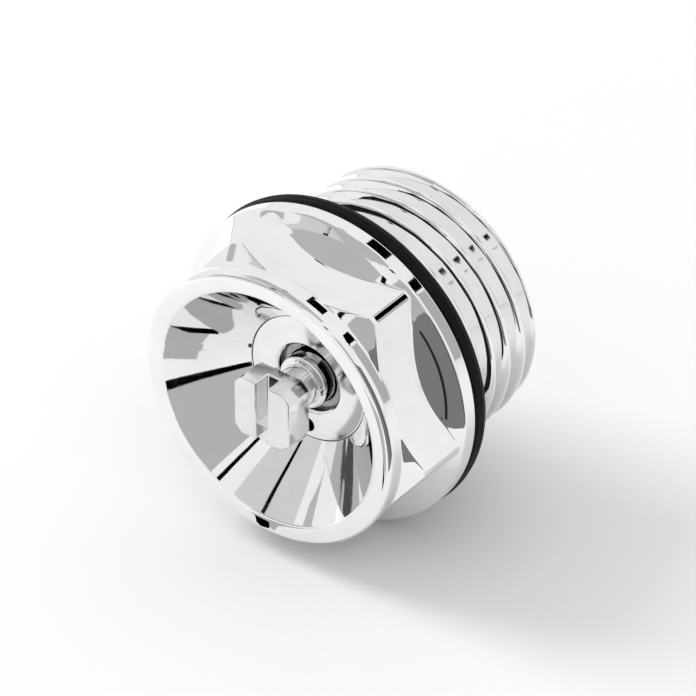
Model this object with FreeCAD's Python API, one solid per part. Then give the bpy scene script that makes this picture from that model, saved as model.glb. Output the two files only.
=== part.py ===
"""Chrome radiator air-vent plug: a G1/2 hexagon plug with a dished front and a key-operated bleed screw.

Frame, in millimetres: the origin is on the plug's axis, in the plane of the radiator face that the
body seal bears on. -Y points outwards, towards the person with the key, +Y into the radiator, +Z up.
Profiles are drawn as (radius, outward distance), and an outward distance a lies at y = -a.
"""
import FreeCAD, Part
import math
import os
from FreeCAD import Vector

# G1/2 pipe thread of the plug (ISO 228)
THREAD_MAJOR_R = 20.955 / 2
THREAD_PITCH = 1.814
THREAD_DEPTH = 1.16
THREAD_CREST = 0.31
THREAD_FLANK_DEG = 27.5
THREAD_CRESTS = 5
THREAD_LOW = -10.4
LEAD_IN = 1.25
NECK_R = 9.1

# Hexagon and flange of the plug
HEX_AF = 22.0
HEX_CORNER_R = 12.55
HEX_FIRST_CORNER_DEG = 38.0
HEX_BACK = 2.5
HEX_FRONT = 8.4
HEX_CHAMFER_BACK = 6.95
FLANGE_R = 12.9
FLANGE_BACK = 1.55
FLANGE_FRONT = 2.68
FLANGE_EDGE = (12.0, 3.5)
FLANGE_CONE_END = (10.6, 5.4)

# Round front collar and dish
FRONT_R = 11.25
FRONT_BACK = 8.1
RIM = 9.75
RIM_ROUND = 0.7
DISH_MOUTH_R = 9.78
DISH_LIP = 0.35
DISH_FLOOR_R = 5.2
DISH_FLOOR = 4.75

# Body seal, an O-ring of 20 x 3 mm in its squeezed shape
SEAL_OUTER_R = 13.0
SEAL_INNER_R = 9.6
SEAL_FLAT_R = 10.6
SEAL_GROOVE_R = 11.9
SEAL_GROOVE_TOP = 2.35
SEAL_GAP = 0.02

# Seat for the vent insert, and the hollow behind it
INSERT_SEAT = 2.6
CAVITY_R = 7.4
CAVITY_TOP = -2.8
FIT = 0.05

# Vent insert, screwed in from the radiator side: M13 x 1
INSERT_R = 6.5
INSERT_PITCH = 1.0
INSERT_CRESTS = 3
INSERT_THREAD_TOP = 0.6
INSERT_LOW = -2.6
INSERT_GROOVE_R = 5.3
INSERT_GROOVE = (0.95, 2.15)
TAIL_AF = 9.0
TAIL_LOW = -6.8

# Passages inside the insert
BORE_R = 2.8
BORE_LOW = -0.5
SCREW_BORE_R = 2.57
CHAMBER_TOP = -4.6
CHAMBER_LOW = -5.7
SEAT_R = 1.35
SEAT_LIP = -5.46
ORIFICE_R = 0.9
OUTLET_R = 0.6
OUTLET_MOUTH = (4.1, DISH_FLOOR)
OUTLET_INNER = (3.05, -5.15)

# Retaining ring that keeps the bleed screw in the insert
RING_GROOVE_R = 3.2
RING_LOW = 3.75
RING_TOP = 4.15
RING_INNER_R = 2.2
RING_GAP_DEG = 50.0

# Bleed screw: 5 mm key square with a slot, M5 thread
SQUARE_AF = 5.0
SQUARE_CORNER_R = 3.1
SQUARE_FRONT = 10.25
SQUARE_BACK = 7.75
SQUARE_BEVEL = 0.3
SLOT_WIDTH = 1.1
SLOT_DEPTH = 1.5
SCREW_NECK_R = 1.6
SHANK_R = 2.1
SHANK_FRONT = 5.45
LAND_R = 2.7
LAND_TOP = 2.1
LAND_LOW = -0.4
LAND_GROOVE = (0.25, 1.45)
LAND_GROOVE_R = 1.65
SCREW_R = 2.49
SCREW_PITCH = 0.8
SCREW_CRESTS = 4
SCREW_THREAD_LOW = -4.3
TIP_R = 2.1
TIP_LOW = -5.1
TIP_POCKET_R = 1.7
TIP_POCKET_TOP = -4.5
TIP_FACE = -5.44

# ISO metric thread form, as parts of the pitch
METRIC_FLANK_DEG = 30.0
METRIC_DEPTH = 0.6134
METRIC_CREST = 0.125


def point(r, a):
    """The point at radius r in the XY plane, a mm in front of the seat plane."""
    return Vector(r, -a, 0)


def turned(outline, degrees=360.0):
    """A lathe-turned solid from straight runs through (radius, outward distance) points."""
    points = [point(r, a) for r, a in outline]
    wire = Part.makePolygon(points + [points[0]])
    return Part.Face(wire).revolve(Vector(0, 0, 0), Vector(0, 1, 0), degrees)


def turned_curved(edges):
    """A lathe-turned solid from a closed chain of line and arc edges."""
    return Part.Face(Part.Wire(edges)).revolve(Vector(0, 0, 0), Vector(0, 1, 0), 360)


def line(start, end):
    return Part.LineSegment(point(*start), point(*end)).toShape()


def arc(start, middle, end):
    return Part.Arc(point(*start), point(*middle), point(*end)).toShape()


def disc(r, low, high):
    """A cylinder on the axis between two outward distances."""
    return Part.makeCylinder(r, high - low, point(0, high), Vector(0, 1, 0))


def prism(sides, across_flats, low, high, first_corner_deg):
    """A regular prism on the axis. The first corner's angle is measured from +Z towards +X."""
    corner_r = across_flats / 2 / math.cos(math.pi / sides)
    corners = []
    for n in range(sides + 1):
        angle = math.radians(first_corner_deg + 360.0 / sides * n)
        corners.append(Vector(corner_r * math.sin(angle), -low, corner_r * math.cos(angle)))
    return Part.Face(Part.makePolygon(corners)).extrude(Vector(0, low - high, 0))


def thread_outline(major_r, depth, pitch, crest, flank_deg, low, count):
    """The profile of a thread drawn as equal parallel V-rings: `count` crests, the first at `low`."""
    flank = depth * math.tan(math.radians(flank_deg))
    points = []
    for n in range(count):
        start = low + n * pitch
        points += [(major_r, start), (major_r, start + crest)]
        points += [(major_r - depth, start + crest + flank), (major_r - depth, start + pitch - flank)]
    return points[:-1]


def metric_outline(major_r, pitch, low, count):
    depth, crest = METRIC_DEPTH * pitch, METRIC_CREST * pitch
    return thread_outline(major_r, depth, pitch, crest, METRIC_FLANK_DEG, low, count)


def plug_shank():
    """The shank with its G1/2 thread and the plain neck behind the flange."""
    thread = thread_outline(THREAD_MAJOR_R, THREAD_DEPTH, THREAD_PITCH, THREAD_CREST, THREAD_FLANK_DEG,
                            THREAD_LOW + LEAD_IN, THREAD_CRESTS)
    run_out = thread[-1][1]
    return turned([(0, THREAD_LOW), (THREAD_MAJOR_R - LEAD_IN, THREAD_LOW)] + thread
                  + [(NECK_R, run_out + 0.15), (NECK_R, HEX_BACK), (0, HEX_BACK)])


def plug_flange():
    return turned([
        (0, SEAL_GROOVE_TOP),
        (SEAL_GROOVE_R, SEAL_GROOVE_TOP),
        (SEAL_GROOVE_R, FLANGE_BACK),
        (FLANGE_R - 0.15, FLANGE_BACK),
        (FLANGE_R, FLANGE_BACK + 0.15),
        (FLANGE_R, FLANGE_FRONT),
        FLANGE_EDGE,
        FLANGE_CONE_END,
        (0, FLANGE_CONE_END[1]),
    ])


def plug_hexagon():
    """The hexagon, with its corners turned off to a small land and its front edge chamfered."""
    turned_bar = turned([
        (0, HEX_BACK),
        (HEX_CORNER_R, HEX_BACK),
        (HEX_CORNER_R, HEX_CHAMFER_BACK),
        (HEX_CORNER_R - HEX_FRONT + HEX_CHAMFER_BACK, HEX_FRONT),
        (0, HEX_FRONT),
    ])
    return prism(6, HEX_AF, HEX_BACK, HEX_FRONT, HEX_FIRST_CORNER_DEG).common(turned_bar)


def plug_front():
    """The round collar around the dish, with a rounded rim."""
    step = 0.35
    bend = RIM_ROUND * (1 - math.cos(math.pi / 4))
    return turned_curved([
        line((0, FRONT_BACK - step), (FRONT_R - step, FRONT_BACK - step)),
        line((FRONT_R - step, FRONT_BACK - step), (FRONT_R, FRONT_BACK)),
        line((FRONT_R, FRONT_BACK), (FRONT_R, RIM - RIM_ROUND)),
        arc((FRONT_R, RIM - RIM_ROUND), (FRONT_R - bend, RIM - bend), (FRONT_R - RIM_ROUND, RIM)),
        line((FRONT_R - RIM_ROUND, RIM), (0, RIM)),
        line((0, RIM), (0, FRONT_BACK - step)),
    ])


def dish():
    """The hollow of the dish: a rounded lip, a straight cone and the hole for the insert's face."""
    lip_r = DISH_MOUTH_R + DISH_LIP
    slope = (DISH_MOUTH_R - DISH_FLOOR_R) / (RIM - DISH_FLOOR)
    lip_low = (DISH_MOUTH_R - slope * DISH_LIP, RIM - DISH_LIP)
    return turned_curved([
        line((0, RIM + 1), (lip_r, RIM + 1)),
        line((lip_r, RIM + 1), (lip_r, RIM)),
        arc((lip_r, RIM), (DISH_MOUTH_R, RIM - 0.35 * DISH_LIP), lip_low),
        line(lip_low, (DISH_FLOOR_R, DISH_FLOOR)),
        line((DISH_FLOOR_R, DISH_FLOOR), (DISH_FLOOR_R, INSERT_SEAT - 0.5)),
        line((DISH_FLOOR_R, INSERT_SEAT - 0.5), (0, INSERT_SEAT - 0.5)),
        line((0, INSERT_SEAT - 0.5), (0, RIM + 1)),
    ])


def plug_body():
    body = plug_flange().multiFuse([plug_hexagon(), plug_front(), plug_shank()])
    seat = disc(INSERT_R + FIT, CAVITY_TOP - 1, INSERT_SEAT)
    hollow = turned([
        (0, THREAD_LOW - 1),
        (CAVITY_R + 1.5, THREAD_LOW - 1),
        (CAVITY_R, THREAD_LOW + 0.5),
        (CAVITY_R, CAVITY_TOP),
        (0, CAVITY_TOP),
    ])
    return body.cut([dish(), seat, hollow])


def body_seal():
    """The O-ring as it is squeezed: filling the flange's groove and bulging past the flange."""
    low, lip, top = 0.0, FLANGE_BACK - SEAL_GAP, SEAL_GROOVE_TOP - SEAL_GAP
    inner, groove = SEAL_INNER_R, SEAL_GROOVE_R - SEAL_GAP
    bulge_from = SEAL_OUTER_R - 0.55
    return turned_curved([
        line((SEAL_FLAT_R, low), (bulge_from, low)),
        arc((bulge_from, low), (SEAL_OUTER_R, lip / 2), (bulge_from, lip)),
        line((bulge_from, lip), (groove, lip)),
        line((groove, lip), (groove, top - 0.5)),
        arc((groove, top - 0.5), (groove - 0.15, top - 0.15), (groove - 0.5, top)),
        line((groove - 0.5, top), (inner + 0.6, top)),
        arc((inner + 0.6, top), (inner, (low + top) / 2), (SEAL_FLAT_R, low)),
    ])


def vent_insert():
    groove_low, groove_top = INSERT_GROOVE
    thread = metric_outline(INSERT_R, INSERT_PITCH, INSERT_LOW + 0.6, INSERT_CRESTS)
    head = turned([(0, INSERT_LOW), (INSERT_R - 0.6, INSERT_LOW)] + thread + [
        (thread[-1][0], INSERT_THREAD_TOP),
        (INSERT_R, INSERT_THREAD_TOP),
        (INSERT_R, groove_low),
        (INSERT_GROOVE_R, groove_low),
        (INSERT_GROOVE_R, groove_top),
        (INSERT_R, groove_top),
        (INSERT_R, INSERT_SEAT - FIT),
        (DISH_FLOOR_R - FIT, INSERT_SEAT - FIT),
        (DISH_FLOOR_R - FIT, DISH_FLOOR - 0.1),
        (DISH_FLOOR_R - FIT - 0.1, DISH_FLOOR),
        (0, DISH_FLOOR),
    ])
    tail = prism(6, TAIL_AF, TAIL_LOW, INSERT_LOW + 0.5, 0.0)
    bores = turned([
        (0, TAIL_LOW - 1),
        (ORIFICE_R + 1.4, TAIL_LOW - 1),
        (ORIFICE_R, TAIL_LOW + 0.4),
        (ORIFICE_R, SEAT_LIP),
        (SEAT_R, SEAT_LIP),
        (SEAT_R, CHAMBER_LOW),
        (BORE_R, CHAMBER_LOW),
        (BORE_R, CHAMBER_TOP),
        (SCREW_BORE_R, CHAMBER_TOP + 0.2),
        (SCREW_BORE_R, BORE_LOW),
        (BORE_R, BORE_LOW),
        (BORE_R, RING_LOW),
        (RING_GROOVE_R, RING_LOW),
        (RING_GROOVE_R, RING_TOP),
        (BORE_R, RING_TOP),
        (BORE_R, DISH_FLOOR - 0.2),
        (BORE_R + 0.2, DISH_FLOOR),
        (BORE_R + 0.2, DISH_FLOOR + 1),
        (0, DISH_FLOOR + 1),
    ])
    return head.fuse(tail).cut([bores, outlet()])


def outlet():
    """The drilled water outlet, from the chamber above the seat to the lowest point of the floor."""
    inner = Vector(0, -OUTLET_INNER[1], -OUTLET_INNER[0])
    mouth = Vector(0, -OUTLET_MOUTH[1], -OUTLET_MOUTH[0])
    way = mouth - inner
    return Part.makeCylinder(OUTLET_R, way.Length + 1.0, inner, way)


def insert_seal():
    low, top = INSERT_GROOVE
    section_r = (top - low) / 2 - SEAL_GAP
    middle = INSERT_R + FIT - SEAL_GAP - section_r
    return Part.makeTorus(middle, section_r, point(0, (low + top) / 2), Vector(0, 1, 0))


def retaining_ring():
    """An open spring ring, with its gap at the top."""
    low, top = RING_LOW + 0.02, RING_TOP - 0.02
    outer = RING_GROOVE_R - 0.03
    ring = turned([(RING_INNER_R, low), (outer, low), (outer, top), (RING_INNER_R, top)],
                  360.0 - RING_GAP_DEG)
    ring.rotate(Vector(0, 0, 0), Vector(0, 1, 0), RING_GAP_DEG / 2 - 90)
    return ring


def bleed_screw():
    groove_low, groove_top = LAND_GROOVE
    bevel_back = SQUARE_FRONT - SQUARE_BEVEL
    corner_bar = turned([
        (0, SQUARE_BACK),
        (SQUARE_CORNER_R - 0.25, SQUARE_BACK),
        (SQUARE_CORNER_R, SQUARE_BACK + 0.25),
        (SQUARE_CORNER_R, bevel_back),
        (SQUARE_CORNER_R - SQUARE_BEVEL, SQUARE_FRONT),
        (0, SQUARE_FRONT),
    ])
    square = prism(4, SQUARE_AF, SQUARE_BACK, SQUARE_FRONT, 45.0).common(corner_bar)
    slot = Part.makeBox(SLOT_WIDTH, SLOT_DEPTH + 1, 4 * SQUARE_CORNER_R,
                        Vector(-SLOT_WIDTH / 2, -SQUARE_FRONT - 1, -2 * SQUARE_CORNER_R))
    thread = metric_outline(SCREW_R, SCREW_PITCH, SCREW_THREAD_LOW + 0.5, SCREW_CRESTS)
    spindle = turned([(0, SCREW_THREAD_LOW), (SCREW_R - 0.5, SCREW_THREAD_LOW)] + thread + [
        (thread[-1][0], LAND_LOW),
        (LAND_R - 0.1, LAND_LOW),
        (LAND_R, LAND_LOW + 0.1),
        (LAND_R, groove_low),
        (LAND_GROOVE_R, groove_low),
        (LAND_GROOVE_R, groove_top),
        (LAND_R, groove_top),
        (LAND_R, LAND_TOP - 0.1),
        (LAND_R - 0.1, LAND_TOP),
        (SHANK_R, LAND_TOP),
        (SHANK_R, SHANK_FRONT - 0.15),
        (SHANK_R - 0.15, SHANK_FRONT),
        (SCREW_NECK_R, SHANK_FRONT),
        (SCREW_NECK_R, SQUARE_BACK + 0.2),
        (0, SQUARE_BACK + 0.2),
    ])
    tip = turned([
        (0, TIP_POCKET_TOP),
        (TIP_POCKET_R, TIP_POCKET_TOP),
        (TIP_POCKET_R, TIP_LOW),
        (TIP_R - 0.1, TIP_LOW),
        (TIP_R, TIP_LOW + 0.1),
        (TIP_R, CHAMBER_TOP + 0.1),
        (SCREW_R - 0.5, SCREW_THREAD_LOW + 0.1),
        (0, SCREW_THREAD_LOW + 0.1),
    ])
    return square.cut(slot).multiFuse([spindle, tip])


def spindle_seal():
    low, top = LAND_GROOVE
    inner, outer = LAND_GROOVE_R + 0.02, BORE_R - FIT
    return Part.makeTorus((inner + outer) / 2, (outer - inner) / 2, point(0, (low + top) / 2),
                          Vector(0, 1, 0))


def tip_seal():
    r = TIP_POCKET_R - 0.02
    return turned([
        (0, TIP_FACE),
        (r - 0.15, TIP_FACE),
        (r, TIP_FACE + 0.15),
        (r, TIP_POCKET_TOP - 0.01),
        (0, TIP_POCKET_TOP - 0.01),
    ])


PIECES = {
    "plug_body": plug_body,
    "body_seal_ring": body_seal,
    "vent_insert": vent_insert,
    "insert_seal_ring": insert_seal,
    "retaining_ring": retaining_ring,
    "bleed_screw": bleed_screw,
    "spindle_seal_ring": spindle_seal,
    "tip_seal": tip_seal,
}

os.makedirs("parts", exist_ok=True)
for name, make in PIECES.items():
    shape = make()
    solids = shape.Solids
    print(f"{name}: {len(solids)} solid, valid {shape.isValid()}, {shape.Volume:.2f} mm3, "
          f"{len(shape.Faces)} faces")
    Part.makeCompound(solids).exportStep(f"parts/{name}.step")
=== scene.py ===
"""The looks of a chromed radiator air-vent plug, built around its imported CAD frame.

Radii and outward distances below are in millimetres, in the CAD's own frame: the axis is Y, an outward
distance a lies at y = -a, and angles run from +Z towards +X, clockwise as seen from the front.
"""
import math

import bmesh
import bpy
import numpy as np
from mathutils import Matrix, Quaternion, Vector


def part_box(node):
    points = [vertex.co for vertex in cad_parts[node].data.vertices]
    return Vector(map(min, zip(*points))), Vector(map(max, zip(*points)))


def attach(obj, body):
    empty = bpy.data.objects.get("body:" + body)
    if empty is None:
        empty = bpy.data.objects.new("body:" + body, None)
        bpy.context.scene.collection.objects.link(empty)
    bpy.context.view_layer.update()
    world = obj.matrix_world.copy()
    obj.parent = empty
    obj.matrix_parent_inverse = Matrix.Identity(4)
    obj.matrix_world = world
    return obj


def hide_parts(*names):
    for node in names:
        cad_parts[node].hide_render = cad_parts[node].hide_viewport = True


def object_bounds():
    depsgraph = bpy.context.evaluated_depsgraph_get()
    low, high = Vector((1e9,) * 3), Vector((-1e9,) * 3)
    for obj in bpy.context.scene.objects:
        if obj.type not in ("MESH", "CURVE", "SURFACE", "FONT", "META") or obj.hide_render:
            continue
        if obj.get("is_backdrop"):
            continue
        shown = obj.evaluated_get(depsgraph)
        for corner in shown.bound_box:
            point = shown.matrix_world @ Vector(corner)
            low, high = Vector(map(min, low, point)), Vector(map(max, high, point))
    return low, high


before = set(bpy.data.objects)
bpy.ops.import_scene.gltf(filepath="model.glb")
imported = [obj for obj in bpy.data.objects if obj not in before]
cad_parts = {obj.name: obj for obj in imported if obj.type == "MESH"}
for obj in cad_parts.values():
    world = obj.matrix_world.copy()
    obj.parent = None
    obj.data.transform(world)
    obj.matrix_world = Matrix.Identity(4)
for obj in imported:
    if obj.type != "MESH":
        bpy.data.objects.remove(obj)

CAD_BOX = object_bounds()
MM = 0.001


def extent(node):
    """(largest radius, back, front) of a CAD node in mm, back and front as outward distances."""
    low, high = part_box(node)
    return high.x / MM, -high.y / MM, -low.y / MM


FLANGE_R, SHANK_END, RIM = extent("plug_body")
SEAL_R, SEAL_BACK, SEAL_FRONT = extent("body_seal_ring")
INSERT_R, TAIL_END, DISH_FLOOR = extent("vent_insert")
LAND_R, TIP_END, SQUARE_FRONT = extent("bleed_screw")
RING_R, RING_BACK, RING_FRONT = extent("retaining_ring")

# Hexagon, front and dish
HEX_APOTHEM = 11.0
HEX_CORNER_R = 12.55
FIRST_CORNER_DEG = 38.0
CHAMFER_BACK = 6.95
FRONT_R = 11.25
FRONT_BACK = 8.1
RIM_ROUND = 0.7
LIP_ROUND = 0.55
DISH_MOUTH_R = 9.78
DISH_FLOOR_R = 5.2

# Flange: its front is two cones, the outer one steeper, that meet at the bend
FLANGE_BACK = SEAL_FRONT - 0.78
BEND_R = 12.0
BEND = 3.5
OUTER_CONE_SLOPE = 1.1
INNER_CONE_SLOPE = 0.737
SEAL_GROOVE_R = 11.9
SEAL_GROOVE_FLOOR = 2.35

# Plug behind the flange, and inside
NECK_R = 9.1
THREAD_FRONT = -1.0
SHANK_END_R = 9.15
CAVITY_MOUTH_R = 7.9
CAVITY_R = 7.4
CAVITY_FLOOR = -2.8
INSERT_BORE_R = 6.55
INSERT_SEAT = 2.6

# Threads: (outer radius, pitch, depth, crest width, half angle of the V in degrees)
G_HALF = (10.4775, 1.814, 1.16, 0.31, 27.5)
M13 = (6.5, 1.0, 0.613, 0.125, 30.0)
M5 = (2.49, 0.8, 0.491, 0.1, 30.0)
CREST_BLEND = 0.12
THREAD_END_BLEND = 0.08
RUN_OUT_SLOPE = 1.6

# Bleed screw
SQUARE_AF = 5.0
SQUARE_CORNER_R = 3.1
SQUARE_BACK = 7.75
SLOT_WIDTH = 1.1
SLOT_DEPTH = 1.5
SHANK_R = 2.1
SHANK_FRONT = 5.45

# Mesh steps, in degrees and mm
CORNER_ZONE_DEG = 2.0
CORNER_STEP_DEG = 0.25
FLAT_STEP_DEG = 0.7
ARC_STEP_DEG = 12.0
OUTSIDE_STEP = 0.055


# ---------------------------------------------------------------- meshes

def sector_angles():
    """Angles round the axis, closer together at the hexagon's corners."""
    near = np.arange(-CORNER_ZONE_DEG, CORNER_ZONE_DEG, CORNER_STEP_DEG)
    rest = np.arange(CORNER_ZONE_DEG, 60.0 - CORNER_ZONE_DEG, FLAT_STEP_DEG)
    sector = np.concatenate([near, rest])
    turns = [FIRST_CORNER_DEG + 60.0 * n + sector for n in range(6)]
    return np.radians(np.concatenate(turns))


EVEN = np.linspace(0.0, 2 * math.pi, 192, endpoint=False)
HEXED = sector_angles()


def rounded(corners):
    """The points of an outline whose corners (radius, distance, rounding) are turned into arcs.
    The first and last corners give no point: they only set where the outline comes from and goes to."""
    least_turn = 0.05
    points = []
    for (r0, a0, _), (r, a, rounding), (r1, a1, _) in zip(corners, corners[1:], corners[2:]):
        corner = np.array([r, a])
        back = np.array([r0 - r, a0 - a])
        ahead = np.array([r1 - r, a1 - a])
        back = back / np.linalg.norm(back)
        ahead = ahead / np.linalg.norm(ahead)
        half = math.acos(np.clip(back @ ahead, -1, 1)) / 2
        turn = math.pi - 2 * half
        if rounding == 0 or turn < least_turn:
            points.append((r, a))
            continue
        centre = corner + (back + ahead) / np.linalg.norm(back + ahead) * rounding / math.sin(half)
        start = corner + back * rounding / math.tan(half) - centre
        end = corner + ahead * rounding / math.tan(half) - centre
        steps = max(2, math.ceil(math.degrees(turn) / ARC_STEP_DEG))
        for n in range(steps + 1):
            t = n / steps
            p = (start * math.sin((1 - t) * turn) + end * math.sin(t * turn)) / math.sin(turn)
            points.append(tuple(centre + p / np.linalg.norm(p) * rounding))
    return points


def closed_round(corners):
    """As rounded, for a closed outline."""
    return rounded([corners[-1]] + corners + [corners[0]])


def mesh_object(name, verts, faces):
    mesh = bpy.data.meshes.new(name)
    mesh.from_pydata([tuple(v) for v in verts], [], faces)
    obj = bpy.data.objects.new(name, mesh)
    bpy.context.scene.collection.objects.link(obj)
    return obj


def tidy_mesh(obj):
    """Merges points that coincide on the axis, turns the faces outwards and shades them smooth."""
    work = bmesh.new()
    work.from_mesh(obj.data)
    bmesh.ops.remove_doubles(work, verts=work.verts, dist=1e-7)
    bmesh.ops.recalc_face_normals(work, faces=work.faces)
    for face in work.faces:
        face.smooth = True
    work.to_mesh(obj.data)
    work.free()


def turned(name, rows, angles, closed=True):
    """A lathe-turned mesh. Each row is (radius, distance), and a radius may be an array over the angles.
    A closed outline has no point on the axis, and an open one starts and ends on it."""
    verts = []
    for radius, a in rows:
        r = np.broadcast_to(radius, angles.shape)
        verts.append(np.stack([r * np.sin(angles), np.full_like(angles, -a), r * np.cos(angles)], 1))
    verts = np.concatenate(verts) * MM
    count, around = len(rows), len(angles)
    faces = []
    for i in range(count if closed else count - 1):
        low, high = i * around, (i + 1) % count * around
        for j in range(around):
            k = (j + 1) % around
            faces.append((low + j, low + k, high + k, high + j))
    obj = mesh_object(name, verts, faces)
    tidy_mesh(obj)
    return obj


def apply_modifiers(obj):
    """Replaces the mesh with what its modifiers make of it."""
    evaluated = obj.evaluated_get(bpy.context.evaluated_depsgraph_get())
    mesh = bpy.data.meshes.new_from_object(evaluated)
    obj.modifiers.clear()
    obj.data = mesh


def boolean(obj, other, operation):
    modifier = obj.modifiers.new("boolean", "BOOLEAN")
    modifier.operation = operation
    modifier.solver = "EXACT"
    modifier.object = other
    apply_modifiers(obj)
    bpy.data.objects.remove(other)


def crisp(obj, degrees=35.0):
    """Keeps flat faces flat beside small roundings, and edges sharper than the angle sharp."""
    for polygon in obj.data.polygons:
        polygon.use_smooth = True
    obj.data.set_sharp_from_angle(angle=math.radians(degrees))
    modifier = obj.modifiers.new("weighted", "WEIGHTED_NORMAL")
    modifier.keep_sharp = True
    modifier.weight = 80


def smooth_min(a, b, blend):
    """The smaller of two values, with the corner between them rounded over the blend."""
    near = np.maximum(blend - np.abs(a - b), 0) / blend
    return np.minimum(a, b) - near * near * blend / 4


def smooth_max(a, b, blend):
    return -smooth_min(-a, -b, blend)


def hexagon_radius(angles, apothem, first_corner_deg):
    """The radius at each angle of a regular hexagon."""
    sector = 2 * math.pi / 6
    from_middle = (angles - math.radians(first_corner_deg)) % sector - sector / 2
    return apothem / np.cos(from_middle)


def thread_radius(angles, a, thread, low, high, end_depth):
    """The radius of a right-hand thread at distance a. A chamfer cuts it down by end_depth at low, and it
    runs out into its root at high."""
    outer, pitch, depth, crest, half_deg = thread
    phase = a / pitch + angles / (2 * math.pi)
    off_crest = np.abs((phase + 0.5) % 1.0 - 0.5) * pitch
    flank = depth * math.tan(math.radians(half_deg))
    fall = (off_crest - crest / 2) / flank
    ridge = outer - depth * smooth_min(smooth_max(fall, 0.0, CREST_BLEND), 1.0, CREST_BLEND)
    chamfer = outer - end_depth + (a - low)
    run_out = outer - depth + RUN_OUT_SLOPE * max(high - a, 0.0)
    return smooth_min(smooth_min(ridge, chamfer, THREAD_END_BLEND), run_out, THREAD_END_BLEND)


def rows_between(high, low, step, radius_at):
    """Rows for a lathe-turned mesh, from distance high down to low."""
    count = math.ceil((high - low) / step)
    distances = [high + (low - high) * n / count for n in range(count + 1)]
    return [(radius_at(a), a) for a in distances]


# ---------------------------------------------------------------- pieces

def plug_outside(a):
    """The radius of the plug's outside at distance a: flange, hexagon and round front together."""
    outer_cone = BEND_R - OUTER_CONE_SLOPE * (a - BEND)
    inner_cone = BEND_R - INNER_CONE_SLOPE * (a - BEND)
    flange = smooth_min(FLANGE_R, smooth_max(outer_cone, inner_cone, blend=0.1), blend=0.12)
    blank = smooth_min(HEX_CORNER_R, HEX_CORNER_R - (a - CHAMFER_BACK), blend=0.2)
    bar = smooth_min(hexagon_radius(HEXED, HEX_APOTHEM, FIRST_CORNER_DEG), blank, blend=0.03)
    front = smooth_min(FRONT_R, FRONT_R + (a - FRONT_BACK), blend=0.1)
    return smooth_max(smooth_max(bar, flange, blend=0.12), front, blend=0.1)


def make_plug():
    front = rounded([
        (DISH_FLOOR_R, INSERT_SEAT - 0.1, 0),
        (DISH_FLOOR_R, INSERT_SEAT, 0),
        (DISH_FLOOR_R, DISH_FLOOR, 0.12),
        (DISH_MOUTH_R, RIM, LIP_ROUND),
        (FRONT_R, RIM, RIM_ROUND),
        (FRONT_R, FRONT_BACK, 0),
    ])
    behind = rounded([
        (FLANGE_R, FLANGE_BACK + 1.0, 0),
        (FLANGE_R, FLANGE_BACK, 0.15),
        (SEAL_GROOVE_R, FLANGE_BACK, 0.06),
        (SEAL_GROOVE_R, SEAL_GROOVE_FLOOR, 0.1),
        (NECK_R, SEAL_GROOVE_FLOOR, 0.3),
        (NECK_R, -0.6, 0),
        (NECK_R, THREAD_FRONT, 0),
    ])
    inside = rounded([
        (9.2, SHANK_END + 0.5, 0),
        (SHANK_END_R, SHANK_END, 0.12),
        (CAVITY_MOUTH_R, SHANK_END, 0.12),
        (CAVITY_R, SHANK_END + 0.5, 0.2),
        (CAVITY_R, CAVITY_FLOOR, 0.25),
        (INSERT_BORE_R, CAVITY_FLOOR, 0.1),
        (INSERT_BORE_R, INSERT_SEAT, 0.05),
        (DISH_FLOOR_R, INSERT_SEAT, 0),
    ])
    outside = rows_between(RIM - RIM_ROUND - 0.05, FLANGE_BACK + 0.2, OUTSIDE_STEP, plug_outside)

    def shank(a):
        return thread_radius(HEXED, a, G_HALF, low=SHANK_END, high=THREAD_FRONT, end_depth=1.25)

    thread = rows_between(THREAD_FRONT - 0.05, SHANK_END + 0.12, 0.1, shank)
    obj = turned("plug", front + outside + behind + thread + inside, HEXED)
    crisp(obj, 180)
    return obj


def make_body_seal():
    """The squeezed O-ring, with the fine moulding line round its outside. Its front part lies in the
    flange's groove, just clear of the metal."""
    clear = 0.02
    lip = FLANGE_BACK - clear
    groove = SEAL_GROOVE_R - clear
    side = SEAL_R - 0.12
    beside_line = SEAL_R - 0.05
    line = 0.76
    half_line = 0.06
    corners = [
        (10.6, SEAL_BACK, 0.3),
        (side, SEAL_BACK, 0.6),
        (beside_line, line - half_line, 0.02),
        (SEAL_R, line, 0.02),
        (beside_line, line + half_line, 0.02),
        (side, lip, 0.55),
        (groove, lip, 0.05),
        (groove, SEAL_FRONT, 0.45),
        (9.9, SEAL_FRONT, 0.4),
        (9.6, 1.2, 0.8),
    ]
    obj = turned("body_seal", closed_round(corners), EVEN)
    crisp(obj, 60)
    return obj


def make_outlet_drill():
    """The slanting bore by which water leaves, from beside the seat to the dish's floor under the screw."""
    radius = 0.6
    length = 12
    inner = Vector((0, 5.15, -3.05)) * MM
    mouth = Vector((0, -DISH_FLOOR, -4.1)) * MM
    rows = [(0, 0), (radius, 0), (radius, length), (0, length)]
    drill = turned("drill", rows, EVEN[::4], closed=False)
    drill.rotation_mode = "QUATERNION"
    drill.rotation_quaternion = (mouth - inner).to_track_quat("-Y", "Z")
    drill.location = inner
    return drill


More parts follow.
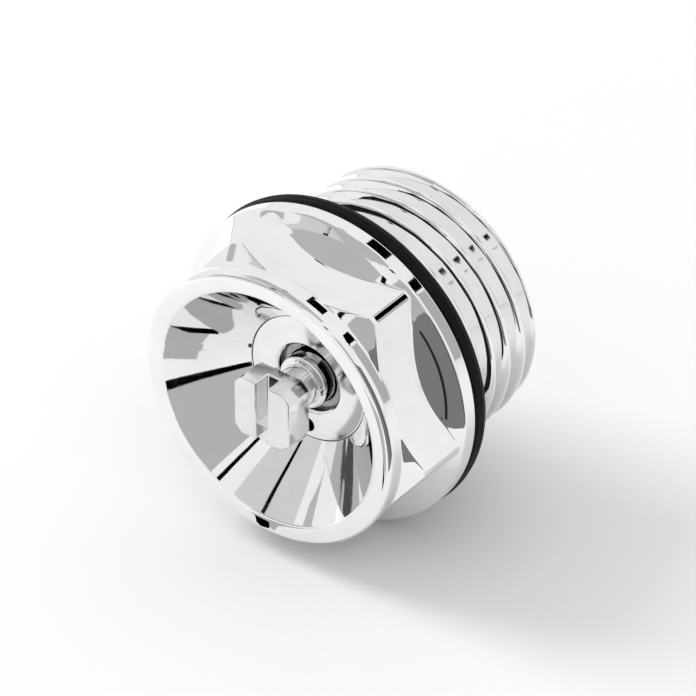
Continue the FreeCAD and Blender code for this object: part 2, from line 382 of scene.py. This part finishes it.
def make_insert():
    """The screwed-in insert. The radii inside it are the screw's bore, the retaining ring's groove, the
    tapped hole, the raised seat and the water's passage through the seat."""
    bore = 2.8
    ring_groove = 3.2
    tapped = 2.57
    seat = 1.35
    passage = 0.9
    seat_top = -5.46
    seat_foot = -5.7
    flange_front = 2.55
    seal_groove = 5.3
    floor_r = DISH_FLOOR_R - 0.05
    ring_front = RING_FRONT + 0.02
    ring_back = RING_BACK - 0.02
    front = rounded([
        (bore, ring_front, 0),
        (bore, 4.55, 0.04),
        (3.0, DISH_FLOOR, 0.05),
        (floor_r, DISH_FLOOR, 0.1),
        (floor_r, flange_front, 0.05),
        (INSERT_R, flange_front, 0.08),
        (INSERT_R, 2.15, 0.05),
        (seal_groove, 2.15, 0.15),
        (seal_groove, 0.95, 0.15),
        (INSERT_R, 0.95, 0.05),
        (INSERT_R, 0.6, 0.05),
        (5.9, 0.6, 0.05),
        (5.88, 0.3, 0),
    ])
    inside = rounded([
        (4.5, TAIL_END + 0.3, 0),
        (4.3, TAIL_END, 0.08),
        (2.3, TAIL_END, 0.05),
        (passage, TAIL_END + 0.4, 0.05),
        (passage, seat_top, 0.03),
        (seat, seat_top, 0.03),
        (seat, seat_foot, 0.03),
        (bore, seat_foot, 0.05),
        (bore, -4.6, 0.05),
        (tapped, -4.4, 0.03),
        (tapped, -0.5, 0.03),
        (bore, -0.5, 0.03),
        (bore, ring_back, 0.03),
        (ring_groove, ring_back, 0.02),
        (ring_groove, ring_front, 0.02),
        (bore, ring_front, 0),
    ])

    def thread_row(a):
        return thread_radius(EVEN, a, M13, low=-2.6, high=0.4, end_depth=0.6)

    def tail_row(a):
        flats = hexagon_radius(EVEN, apothem=4.5, first_corner_deg=0.0)
        end = 4.7 + (a - TAIL_END)
        return smooth_min(flats, end, blend=0.1)

    thread = rows_between(0.3, -2.5, 0.05, thread_row)
    tail = rows_between(-2.65, TAIL_END + 0.04, 0.15, tail_row)
    obj = turned("insert", front + thread + tail + inside, EVEN)
    boolean(obj, make_outlet_drill(), "DIFFERENCE")
    crisp(obj, 40)
    return obj


def square_outline():
    """The points round the square head: flat sides and corners turned to a radius."""
    points = []
    steps = 8
    half = SQUARE_AF / 2
    from_side = math.acos(half / SQUARE_CORNER_R)
    for side in range(4):
        start = side * math.pi / 2 + from_side
        end = (side + 1) * math.pi / 2 - from_side
        for n in range(steps + 1):
            angle = start + (end - start) * n / steps
            points.append((SQUARE_CORNER_R * math.sin(angle), SQUARE_CORNER_R * math.cos(angle)))
    return points


def make_head():
    """The slotted square of the screw, its edges slightly broken."""
    outline = square_outline()
    around = len(outline)
    verts = [(x * MM, -a * MM, z * MM) for a in (SQUARE_BACK, SQUARE_FRONT) for x, z in outline]
    faces = [(n, (n + 1) % around, around + (n + 1) % around, around + n) for n in range(around)]
    faces += [tuple(range(around))[::-1], tuple(range(around, 2 * around))]
    head = mesh_object("head", verts, faces)
    tidy_mesh(head)
    floor = (SQUARE_FRONT - SLOT_DEPTH) * MM
    side = SLOT_WIDTH / 2 * MM
    front = (SQUARE_FRONT + 1) * MM
    end = 2 * SQUARE_CORNER_R * MM
    corners = [(x, y, z) for x in (-side, side) for y in (-front, -floor) for z in (-end, end)]
    quads = [(0, 1, 3, 2), (4, 6, 7, 5), (0, 4, 5, 1), (2, 3, 7, 6), (0, 2, 6, 4), (1, 5, 7, 3)]
    slot = mesh_object("slot", corners, quads)
    tidy_mesh(slot)
    boolean(head, slot, "DIFFERENCE")
    bevel = head.modifiers.new("bevel", "BEVEL")
    bevel.width = 0.13 * MM
    bevel.segments = 4
    bevel.limit_method = "ANGLE"
    bevel.angle_limit = math.radians(40)
    apply_modifiers(head)
    return head


def make_screw():
    """The bleed screw, from the cup that holds the tip disc to the slotted square."""
    thread_low = -4.3
    thread_high = -0.9
    root = 2.0
    cup = 1.7
    cup_floor = -4.5
    tip_r = 2.1
    seal_groove = 1.65
    land_back = -0.4
    land_front = 2.1
    groove_back = 0.25
    groove_front = 1.45
    neck = 1.6
    inside_head = SQUARE_BACK + 0.3

    def thread_row(a):
        return thread_radius(EVEN, a, M5, thread_low, thread_high, end_depth=0.5)

    tip = rounded([
        (0.1, cup_floor, 0),
        (0, cup_floor, 0),
        (cup, cup_floor, 0.05),
        (cup, TIP_END, 0.05),
        (tip_r, TIP_END, 0.1),
        (tip_r, cup_floor, 0.05),
        (root, -4.28, 0),
        (root, -4.2, 0),
    ])
    thread = rows_between(-4.25, thread_high, 0.05, thread_row)
    spindle = rounded([
        (root, -0.85, 0),
        (root, land_back, 0.05),
        (LAND_R, land_back, 0.1),
        (LAND_R, groove_back, 0.05),
        (seal_groove, groove_back, 0.1),
        (seal_groove, groove_front, 0.1),
        (LAND_R, groove_front, 0.05),
        (LAND_R, land_front, 0.1),
        (SHANK_R, land_front, 0.1),
        (SHANK_R, SHANK_FRONT, 0.18),
        (neck, SHANK_FRONT, 0.12),
        (neck, inside_head, 0),
        (0, inside_head, 0),
        (0.1, inside_head, 0),
    ])
    screw = turned("screw", tip + thread + spindle, EVEN, closed=False)
    boolean(screw, make_head(), "UNION")
    crisp(screw, 32)
    return screw


def make_o_ring(name, node):
    """A plain O-ring filling its CAD node's box."""
    outer, back, front = extent(node)
    section = (front - back) / 2
    middle = (front + back) / 2
    steps = 32
    rows = []
    for n in range(steps):
        angle = 2 * math.pi * n / steps
        rows.append((outer - section + section * math.cos(angle), middle + section * math.sin(angle)))
    obj = turned(name, rows, EVEN)
    crisp(obj)
    return obj


def make_tip_disc():
    """The soft disc in the screw's tip."""
    outer, back, front = extent("tip_seal")
    outline = rounded([
        (0.1, back, 0),
        (0, back, 0),
        (outer, back, 0.15),
        (outer, front, 0.03),
        (0, front, 0),
        (0.1, front, 0),
    ])
    obj = turned("tip_disc", outline, EVEN, closed=False)
    crisp(obj)
    return obj


def make_retaining_ring():
    """An open ring of flat spring steel with narrowed ends, its gap at the top."""
    gap = math.radians(50.0)
    inner = 2.2
    middle = (inner + RING_R) / 2
    edge_round = 0.05
    end_steps = 3
    end_taper = 0.35
    section = closed_round([
        (inner, RING_BACK, edge_round),
        (RING_R, RING_BACK, edge_round),
        (RING_R, RING_FRONT, edge_round),
        (inner, RING_FRONT, edge_round),
    ])
    angles = np.linspace(gap / 2, 2 * math.pi - gap / 2, 120)
    around = len(section)
    verts = []
    for n, angle in enumerate(angles):
        from_end = min(n, len(angles) - 1 - n)
        narrow = 1.0 - end_taper * max(0, end_steps - from_end) / end_steps
        for r, a in section:
            r = middle + (r - middle) * narrow
            verts.append((r * math.sin(angle) * MM, -a * MM, r * math.cos(angle) * MM))
    faces = []
    for i in range(len(angles) - 1):
        for j in range(around):
            k = (j + 1) % around
            faces.append((i * around + j, i * around + k, (i + 1) * around + k, (i + 1) * around + j))
    faces.append(tuple(range(around)))
    faces.append(tuple(range((len(angles) - 1) * around, len(angles) * around)))
    obj = mesh_object("spring_ring", verts, faces)
    tidy_mesh(obj)
    crisp(obj)
    return obj


# ---------------------------------------------------------------- materials

class Nodes:
    """A small helper round one material's node tree."""

    def __init__(self, name):
        self.material = bpy.data.materials.new(name)
        self.material.use_nodes = True
        self.tree = self.material.node_tree
        self.shader = self.tree.nodes["Principled BSDF"]

    def add(self, kind, **settings):
        node = self.tree.nodes.new(kind)
        for key, value in settings.items():
            setattr(node, key, value)
        return node

    def join(self, start, end):
        self.tree.links.new(start, end)

    def millimetres(self, stretch=(1.0, 1.0, 1.0)):
        """Object coordinates in millimetres, each axis times its stretch."""
        place = self.add("ShaderNodeTexCoord")
        mapping = self.add("ShaderNodeMapping")
        mapping.inputs["Scale"].default_value = [s / MM for s in stretch]
        self.join(place.outputs["Object"], mapping.inputs["Vector"])
        return mapping.outputs["Vector"]

    def round_coordinates(self, per_mm):
        """(radius, distance) as a vector, so that a noise on it makes rings round the axis."""
        split = self.add("ShaderNodeSeparateXYZ")
        self.join(self.millimetres(), split.inputs["Vector"])
        square_x = self.add("ShaderNodeMath", operation="MULTIPLY")
        square_z = self.add("ShaderNodeMath", operation="MULTIPLY")
        total = self.add("ShaderNodeMath", operation="ADD")
        root = self.add("ShaderNodeMath", operation="SQRT")
        for node, axis in ((square_x, "X"), (square_z, "Z")):
            self.join(split.outputs[axis], node.inputs[0])
            self.join(split.outputs[axis], node.inputs[1])
        self.join(square_x.outputs[0], total.inputs[0])
        self.join(square_z.outputs[0], total.inputs[1])
        self.join(total.outputs[0], root.inputs[0])
        merge = self.add("ShaderNodeCombineXYZ")
        self.join(root.outputs[0], merge.inputs["X"])
        self.join(split.outputs["Y"], merge.inputs["Y"])
        scale = self.add("ShaderNodeVectorMath", operation="MULTIPLY")
        scale.inputs[1].default_value = (per_mm, per_mm, 1.0)
        self.join(merge.outputs[0], scale.inputs[0])
        return scale.outputs["Vector"]

    def noise(self, vector, scale, detail=3.0, roughness=0.5):
        node = self.add("ShaderNodeTexNoise")
        node.inputs["Scale"].default_value = scale
        node.inputs["Detail"].default_value = detail
        node.inputs["Roughness"].default_value = roughness
        self.join(vector, node.inputs["Vector"])
        return node.outputs["Fac"]

    def levels(self, value, low, high, out_low, out_high):
        """Maps low..high to out_low..out_high and holds the value beyond them."""
        node = self.add("ShaderNodeMapRange")
        node.inputs["From Min"].default_value = low
        node.inputs["From Max"].default_value = high
        node.inputs["To Min"].default_value = out_low
        node.inputs["To Max"].default_value = out_high
        self.join(value, node.inputs["Value"])
        return node.outputs["Result"]

    def total(self, first, second):
        node = self.add("ShaderNodeMath", operation="ADD")
        self.join(first, node.inputs[0])
        self.join(second, node.inputs[1])
        return node.outputs[0]

    def two_colours(self, factor, first, second):
        node = self.add("ShaderNodeMix", data_type="RGBA")
        node.inputs["A"].default_value = (*first, 1.0)
        node.inputs["B"].default_value = (*second, 1.0)
        self.join(factor, node.inputs["Factor"])
        return node.outputs["Result"]

    def bump(self, height, distance_mm, strength=1.0, under=None):
        node = self.add("ShaderNodeBump")
        node.inputs["Distance"].default_value = distance_mm * MM
        node.inputs["Strength"].default_value = strength
        self.join(height, node.inputs["Height"])
        if under is not None:
            self.join(under, node.inputs["Normal"])
        return node.outputs["Normal"]

    def colour(self, output):
        self.join(output, self.shader.inputs["Base Color"])

    def roughness(self, output):
        self.join(output, self.shader.inputs["Roughness"])

    def normal(self, output):
        self.join(output, self.shader.inputs["Normal"])


def plated(name, bright, dull, rough_low, rough_high, ring_depth, speck_rough):
    """Plated turned metal: clouded polish, faint tool rings, fine scratches and a few dry water specks."""
    n = Nodes(name)
    n.shader.inputs["Metallic"].default_value = 1.0
    place = n.millimetres()
    cloud = n.noise(place, scale=0.35, detail=4.0, roughness=0.6)
    n.colour(n.two_colours(n.levels(cloud, 0.35, 0.7, 0.0, 1.0), bright, dull))
    rings = n.noise(n.round_coordinates(9.0), scale=1.0, detail=2.0, roughness=0.7)
    scratch = n.noise(n.millimetres((14.0, 0.6, 3.0)), scale=1.0, detail=2.0, roughness=0.6)
    drops = n.noise(place, scale=2.6, detail=2.0, roughness=0.5)
    specks = n.levels(drops, 0.72, 0.78, 0.0, speck_rough)
    polish = n.levels(cloud, 0.3, 0.75, rough_low, rough_high)
    lines = n.levels(scratch, 0.62, 0.8, 0.0, 0.05)
    n.roughness(n.total(n.total(polish, specks), lines))
    waves = n.noise(place, scale=0.8, detail=1.0, roughness=0.4)
    swell = n.bump(waves, distance_mm=0.004, strength=0.6)
    n.normal(n.bump(rings, distance_mm=ring_depth, under=swell))
    return n.material


def rubber(name, base, lifted):
    """Moulded rubber: fine matt grain, faint bloom and small moulding flow marks."""
    n = Nodes(name)
    place = n.millimetres()
    cloud = n.noise(place, scale=0.7, detail=5.0, roughness=0.6)
    n.colour(n.two_colours(n.levels(cloud, 0.4, 0.75, 0.0, 1.0), base, lifted))
    n.roughness(n.levels(cloud, 0.3, 0.7, 0.36, 0.58))
    n.shader.inputs["Specular IOR Level"].default_value = 0.10
    fine = n.noise(place, scale=18.0, detail=3.0, roughness=0.6)
    grain = n.bump(fine, distance_mm=0.012, strength=0.5)
    flow = n.noise(place, scale=1.5, detail=2.0, roughness=0.5)
    n.normal(n.bump(flow, distance_mm=0.03, strength=0.4, under=grain))
    return n.material


def spring_steel():
    """Darker drawn steel, faintly lined across the axis."""
    n = Nodes("spring_steel")
    n.shader.inputs["Metallic"].default_value = 1.0
    place = n.millimetres()
    cloud = n.noise(place, scale=1.2, detail=4.0, roughness=0.6)
    n.colour(n.two_colours(cloud, (0.42, 0.42, 0.44), (0.30, 0.29, 0.30)))
    n.roughness(n.levels(cloud, 0.3, 0.7, 0.18, 0.38))
    drawn = n.noise(n.millimetres((1.0, 30.0, 1.0)), scale=1.0, detail=2.0)
    n.normal(n.bump(drawn, distance_mm=0.003))
    return n.material


def paint(obj, material):
    obj.data.materials.clear()
    obj.data.materials.append(material)


# ---------------------------------------------------------------- studio

# Cards for the metal to reflect: (name, azimuth, elevation, width, height, roll, brightness), all angles
# in degrees as seen from the object. An entry may add the card's distance in metres, which is 1 if not
# given, and the point in mm that it is seen from. The cards within 25 mm of the metal show in one part of
# it only, and a card slightly nearer or further than 1 m lies in front of or behind the others.
CARDS = [
    ("grey_front", 36, 19, 20, 44, 24, 0.48),
    ("grey_front_low", 50, -9, 26, 25, 0, 0.48, 0.025, (-8, -7, 0)),
    ("black_left_of_camera", 16.5, 42.5, 3.0, 14, -40, 0.0),
    ("grey_top", -30, 58, 22, 18, 0, 0.40),
    ("grey_top_wide", -37, 48, 46, 34, 0, 0.66, 1.2),
    ("grey_top_right", 6, 64, 16, 20, 0, 0.30),
    ("black_above", -36, 44, 3.0, 12, 10, 0.0),
    ("black_zenith", -100, 72, 16, 5, 0, 0.0),
    ("black_behind", 146, 39.5, 6, 24, 66, 0.0),
    ("grey_behind", 135, 18, 16, 36, 0, 0.45),
    ("black_far", 179, 49, 13, 6, 0, 0.0),
    ("grey_left", -47, 22, 46, 12, 18, 0.50),
    ("dark_left", -43, 27, 30, 2.5, 18, 0.08, 0.98),
    ("dark_right", 58, -3, 42, 81, 14, 0.20, 0.018, (9.1, -6.6, 4.5)),
    ("black_right", 58, -3, 5, 70, 20, 0.02, 0.0175, (10, -5, 4.5)),
    ("light_top", -26, 58, 76, 30, 6, 0.50, 0.0174, (1, -3.8, 11.7)),
    ("black_low", 54, -23, 18, 5, 0, 0.0, 0.024, (-8, -7, 0)),
    ("black_lowest", 58, -65, 16, 4.5, 0, 0.0, 0.0165, (-8.1, -8.5, 3)),
    ("grey_lowest", 32, -35, 24, 34, 0, 0.45, 0.009, (-5.3, -7.3, -5)),
]


def facing(azimuth, elevation, distance, roll=0.0):
    """(place, rotation) of something that faces the object from a direction, turned in its own plane."""
    back = direction(azimuth, elevation)
    return back * distance, back.to_track_quat("Z", "Y") @ Quaternion((0, 0, 1), math.radians(roll))


def make_card(name, azimuth, elevation, wide, tall, roll, level, distance=1.0, start=(0, 0, 0)):
    """A plain card seen only in the metal's reflections. It lies in a direction from the start point (mm),
    and its width and height are angles in degrees. A card near the metal casts no shadow on it."""
    near = distance < 0.5
    w = distance * math.tan(math.radians(wide / 2))
    h = distance * math.tan(math.radians(tall / 2))
    obj = mesh_object(name, [(-w, -h, 0), (w, -h, 0), (w, h, 0), (-w, h, 0)], [(0, 1, 2, 3)])
    obj.rotation_mode = "QUATERNION"
    place, obj.rotation_quaternion = facing(azimuth, elevation, distance, roll)
    obj.location = place + Vector(start) * MM
    n = Nodes(name)
    n.shader.inputs["Base Color"].default_value = (0, 0, 0, 1)
    n.shader.inputs["Roughness"].default_value = 1.0
    n.shader.inputs["Specular IOR Level"].default_value = 0.0
    n.shader.inputs["Emission Color"].default_value = (level, level, level, 1.0)
    n.shader.inputs["Emission Strength"].default_value = 1.0
    paint(obj, n.material)
    obj.visible_camera = False
    obj.visible_diffuse = False
    obj.visible_shadow = not near
    obj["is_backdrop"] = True


def make_floor(level):
    """A sheet of pale paper that the object stands on."""
    size = 3.0
    corners = [(-size, -size, level), (size, -size, level), (size, size, level), (-size, size, level)]
    floor = mesh_object("floor", corners, [(0, 1, 2, 3)])
    n = Nodes("floor_paper")
    tint = n.noise(n.millimetres(), scale=0.02, detail=3.0)
    n.colour(n.two_colours(tint, (0.80, 0.80, 0.80), (0.84, 0.84, 0.84)))
    tooth = n.noise(n.millimetres(), scale=0.5, detail=2.0)
    n.roughness(n.levels(tooth, 0.3, 0.7, 0.8, 0.9))
    paint(floor, n.material)
    floor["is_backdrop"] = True


def make_world(strength):
    """An even white surround."""
    world = bpy.data.worlds.new("studio")
    bpy.context.scene.world = world
    world.use_nodes = True
    background = world.node_tree.nodes["Background"]
    background.inputs["Color"].default_value = (1.0, 1.0, 1.0, 1.0)
    background.inputs["Strength"].default_value = strength


def area_light(name, azimuth, elevation, distance, size, power):
    """A square light that faces the object. Reflections leave it out, because it would show in the metal
    as a hard white patch."""
    data = bpy.data.lights.new(name, "AREA")
    data.shape = "SQUARE"
    data.size = size
    data.energy = power
    light = bpy.data.objects.new(name, data)
    light.rotation_mode = "QUATERNION"
    light.location, light.rotation_quaternion = facing(azimuth, elevation, distance)
    light.visible_glossy = False
    bpy.context.scene.collection.objects.link(light)


def direction(azimuth, elevation):
    """A unit vector from the object: azimuth 0 is the front, 90 the right, elevation above level."""
    a, e = math.radians(azimuth), math.radians(elevation)
    return Vector((math.sin(a) * math.cos(e), -math.cos(a) * math.cos(e), math.sin(e)))


def make_camera(azimuth, elevation, fill):
    """A long lens at the viewing angle. The object's width, taken as 0.8 of its box's diagonal, fills the
    given share of the frame."""
    low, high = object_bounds()
    data = bpy.data.cameras.new("camera")
    camera = bpy.data.objects.new("camera", data)
    bpy.context.scene.collection.objects.link(camera)
    back = direction(azimuth, elevation)
    distance = 0.5
    camera.location = (low + high) / 2 + back * distance
    camera.rotation_mode = "QUATERNION"
    camera.rotation_quaternion = back.to_track_quat("Z", "Y")
    data.sensor_width = 36.0
    width_per_diagonal = 0.8
    reach = (high - low).length * width_per_diagonal / fill
    data.lens = data.sensor_width * distance / reach
    data.clip_start = 0.01
    data.clip_end = 20.0
    bpy.context.scene.camera = camera


# ---------------------------------------------------------------- the object

CHROME = plated("chrome", bright=(0.92, 0.92, 0.925), dull=(0.87, 0.87, 0.875),
                rough_low=0.02, rough_high=0.06, ring_depth=0.00012, speck_rough=0.12)
NICKEL = plated("nickel", bright=(0.90, 0.90, 0.895), dull=(0.84, 0.84, 0.835),
                rough_low=0.08, rough_high=0.15, ring_depth=0.0012, speck_rough=0.15)
SCREW_PLATE = plated("screw_plate", bright=(0.85, 0.85, 0.845), dull=(0.75, 0.75, 0.745),
                     rough_low=0.05, rough_high=0.11, ring_depth=0.0008, speck_rough=0.15)
BLACK_RUBBER = rubber("black_rubber", (0.003, 0.003, 0.0033), (0.009, 0.009, 0.0095))
INNER_RUBBER = rubber("inner_rubber", (0.018, 0.018, 0.018), (0.035, 0.034, 0.033))

# Each piece with its body, the CAD node it replaces, its slot's name and its material
PIECES = [
    (make_plug(), "plug", "plug_body", "plug_chrome", CHROME),
    (make_body_seal(), "plug", "body_seal_ring", "seal_rubber", BLACK_RUBBER),
    (make_insert(), "plug", "vent_insert", "insert_plated", NICKEL),
    (make_o_ring("insert_o_ring", "insert_seal_ring"),
     "plug", "insert_seal_ring", "inner_rubber", INNER_RUBBER),
    (make_retaining_ring(), "plug", "retaining_ring", "spring_steel", spring_steel()),
    (make_screw(), "spindle", "bleed_screw", "screw_plated", SCREW_PLATE),
    (make_o_ring("spindle_o_ring", "spindle_seal_ring"),
     "seal_carrier", "spindle_seal_ring", "inner_rubber", INNER_RUBBER),
    (make_tip_disc(), "spindle", "tip_seal", "inner_rubber", INNER_RUBBER),
]
for obj, body, node, slot_name, material in PIECES:
    paint(obj, material)
    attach(obj, body)
    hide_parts(node)

make_floor(CAD_BOX[0].z)
make_world(strength=0.92)
for settings in CARDS:
    make_card(*settings)
area_light("key", azimuth=-75, elevation=42, distance=0.9, size=0.35, power=4)
bpy.context.scene.view_settings.view_transform = "Standard"
make_camera(azimuth=37.5, elevation=36.0, fill=0.66)
